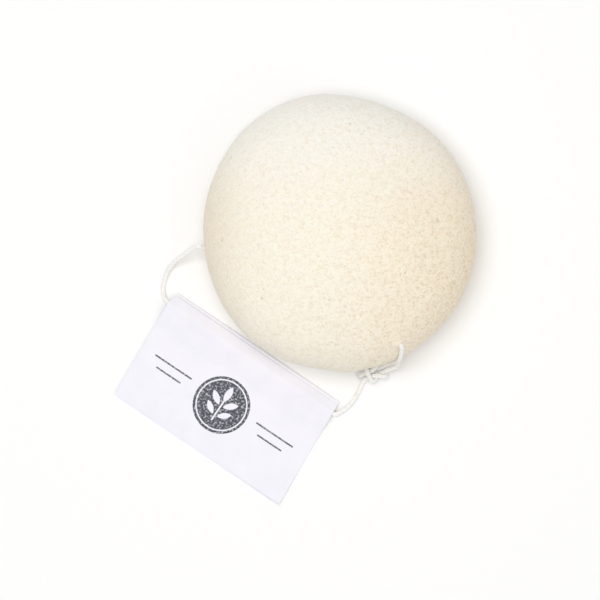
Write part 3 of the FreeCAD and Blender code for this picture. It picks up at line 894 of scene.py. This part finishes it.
def moved(m, place, x, y, degrees=0.0):
    """Label coordinates about a point, turned by an angle."""
    turn = (0.0, 0.0, math.radians(degrees))
    made = m.node(
        "ShaderNodeMapping", {"vector_type": "TEXTURE"}, Vector=place, Location=(x, y, 0), Rotation=turn
    )
    return made.outputs["Vector"]


def vector_math(m, operation, first, second=(0, 0, 0)):
    made = m.node("ShaderNodeVectorMath", {"operation": operation}, _0=first, _1=second)
    return made.outputs["Value" if operation == "LENGTH" else "Vector"]


def inside(m, distance, reach):
    """1 where a distance is under a reach, 0 beyond it."""
    return m.math("SUBTRACT", 1.0, m.step(distance, reach - INK_EDGE, reach + INK_EDGE))


def leaf_mask(m, place, x, y, degrees, half):
    """A pointed leaf between two arcs."""
    plump = LEAF_PLUMPNESS * half
    radius = (half**2 + plump**2) / (2 * plump)
    folded = vector_math(m, "ABSOLUTE", moved(m, place, BADGE[0] + x, BADGE[1] + y, degrees))
    apart = vector_math(m, "LENGTH", vector_math(m, "ADD", folded, (0, radius - plump, 0)))
    return inside(m, apart, radius)


def bar_mask(m, place, x, y, half_across, half_down):
    """An upright rectangle about a point."""
    folded = m.node("ShaderNodeSeparateXYZ", Vector=vector_math(m, "ABSOLUTE", moved(m, place, x, y)))
    along = inside(m, folded.outputs["X"], half_across)
    return m.math("MULTIPLY", along, inside(m, folded.outputs["Y"], half_down))


def print_mask(m, place):
    """1 where the label is inked."""
    radius = vector_math(m, "LENGTH", moved(m, place, *BADGE))
    ink = inside(m, radius, BADGE_RADIUS)
    ring = inside(m, m.math("ABSOLUTE", m.math("SUBTRACT", radius, BADGE_RING)), RING_HALF)
    stem = bar_mask(m, place, BADGE[0], BADGE[1] + STEM_DROP, STEM_HALF_WIDTH, STEM_HALF_LENGTH)
    bare = m.math("MAXIMUM", ring, stem)
    for x, y, degrees, half in SPRIG_LEAVES:
        bare = m.math("MAXIMUM", bare, leaf_mask(m, place, x, y, degrees, half))
    ink = m.math("SUBTRACT", ink, bare)
    for x, y, half in RULES:
        ink = m.math("MAXIMUM", ink, bar_mask(m, place, x, y, half, RULE_HALF))
    return m.math("MAXIMUM", ink, 0.0)


# The scored line's shade on the card: strength, colour and where it fades along the fold, in millimetres
SCORE_SHADE = 0.5
SCORE_COLOUR = "BDBDC6"
SCORE_FADE = (46.0, 14.0)


def card():
    """Cool white card with fibres, a shaded score line and speckled dark print."""
    m = Material("label_card", roughness=0.55)
    label = m.node("ShaderNodeAttribute", {"attribute_name": "label"}).outputs["Vector"]
    parts = m.node("ShaderNodeSeparateXYZ", Vector=label)
    along = parts.outputs["X"]
    down = parts.outputs["Y"]
    front = m.math("GREATER_THAN", parts.outputs["Z"], 0.5)
    flat = m.node("ShaderNodeCombineXYZ", X=along, Y=down).outputs["Vector"]
    fibre = m.noise(scale=2600.0, detail=3.0, rough=0.6)
    cloud = m.noise(scale=160.0)
    tone = m.weighted(fibre, 0.5, cloud)
    paper = m.ramp(tone, (0.3, "ECEBF4"), (0.5, "F0EFF7"), (0.7, "F3F2F9"))
    apart = m.math("ABSOLUTE", m.math("SUBTRACT", down, SCORE_PLACE))
    broken = m.step(m.noise(scale=0.9, place=flat), 0.1, 0.5)
    score = m.math("MULTIPLY", inside(m, apart, SCORE_LINE), broken)
    score = m.math("MULTIPLY", score, m.step(along, *SCORE_FADE))
    paper = m.mix(m.math("MULTIPLY", score, SCORE_SHADE), paper, srgb(SCORE_COLOUR))
    speckle = m.noise(scale=1.5, rough=0.6, place=flat)
    ink = m.ramp(speckle, (0.4, "3E3F4A"), (0.53, "5A5B66"), (0.62, "B4B5BC"))
    inked = m.math("MULTIPLY", print_mask(m, flat), front)
    m.colour(m.mix(inked, paper, ink))
    m.bump(fibre, depth_mm=0.02, strength=0.5)
    m.shader.inputs["Specular IOR Level"].default_value = 0.3
    return m.material


def make_glue():
    """Gives the glue strip between the label's leaves, a solid of the frame, its material."""
    m = Material("label_glue", roughness=0.4)
    streak = m.noise(scale=380.0, detail=3.0, rough=0.6)
    m.colour(m.ramp(streak, (0.3, "E2DFCF"), (0.7, "F1EFE2")))
    m.bump(streak, depth_mm=0.02, strength=0.6)
    slots = frame["nodes"]["tag_glue_strip"].data.materials
    slots.clear()
    slots.append(m.material)


# Floor and light
SKY = 0.5
FLOOR_HALF = 4000.0
FLOOR_GREY = 0.97


def make_stage():
    m = Material("floor", roughness=0.9)
    m.shader.inputs["Base Color"].default_value = (FLOOR_GREY, FLOOR_GREY, FLOOR_GREY, 1)
    m.shader.inputs["Specular IOR Level"].default_value = 0.0
    corners = [(x * FLOOR_HALF, y * FLOOR_HALF, 0.0) for x, y in ((-1, -1), (1, -1), (1, 1), (-1, 1))]
    floor = mesh_piece("floor", corners, [(0, 1, 2, 3)], m.material)


def area_light(name, place, size, power, colour=(1, 1, 1)):
    """A round lamp that faces the origin."""
    data = bpy.data.lights.new(name, "AREA")
    data.shape = "DISK"
    data.size = size
    data.energy = power
    data.color = colour
    lamp = bpy.data.objects.new(name, data)
    lamp.location = place
    lamp.rotation_mode = "QUATERNION"
    lamp.rotation_quaternion = (-Vector(place)).to_track_quat("-Z", "Y")
    lamp.visible_camera = False
    bpy.context.scene.collection.objects.link(lamp)


def make_world():
    """An even sky that looks white to the camera and in reflections, and lights the object less."""
    world = bpy.data.worlds.new("studio")
    world.use_nodes = True
    tree = world.node_tree
    background = tree.nodes["Background"]
    background.inputs["Color"].default_value = (1, 1, 1, 1)
    path = tree.nodes.new("ShaderNodeLightPath")
    seen = path.outputs["Is Camera Ray"]
    for ray in ("Is Glossy Ray", "Is Transmission Ray"):
        either = tree.nodes.new("ShaderNodeMath")
        either.operation = "MAXIMUM"
        tree.links.new(seen, either.inputs[0])
        tree.links.new(path.outputs[ray], either.inputs[1])
        seen = either.outputs[0]
    strength = tree.nodes.new("ShaderNodeMath")
    strength.operation = "MULTIPLY_ADD"
    tree.links.new(seen, strength.inputs[0])
    strength.inputs[1].default_value = 1.0 - SKY
    strength.inputs[2].default_value = SKY
    tree.links.new(strength.outputs[0], background.inputs["Strength"])
    bpy.context.scene.world = world


def make_light():
    area_light("key", place=(-0.19, 0.12, 1.4), size=0.85, power=9.7)
    area_light("fill", place=(0.5, -0.6, 1.1), size=1.2, power=2.2, colour=(1.0, 0.96, 0.89))
    make_world()


make_camera()
make_string(make_tag())
make_sponge()
make_glue()
make_stage()
make_light()
bpy.context.scene.view_settings.view_transform = "Standard"
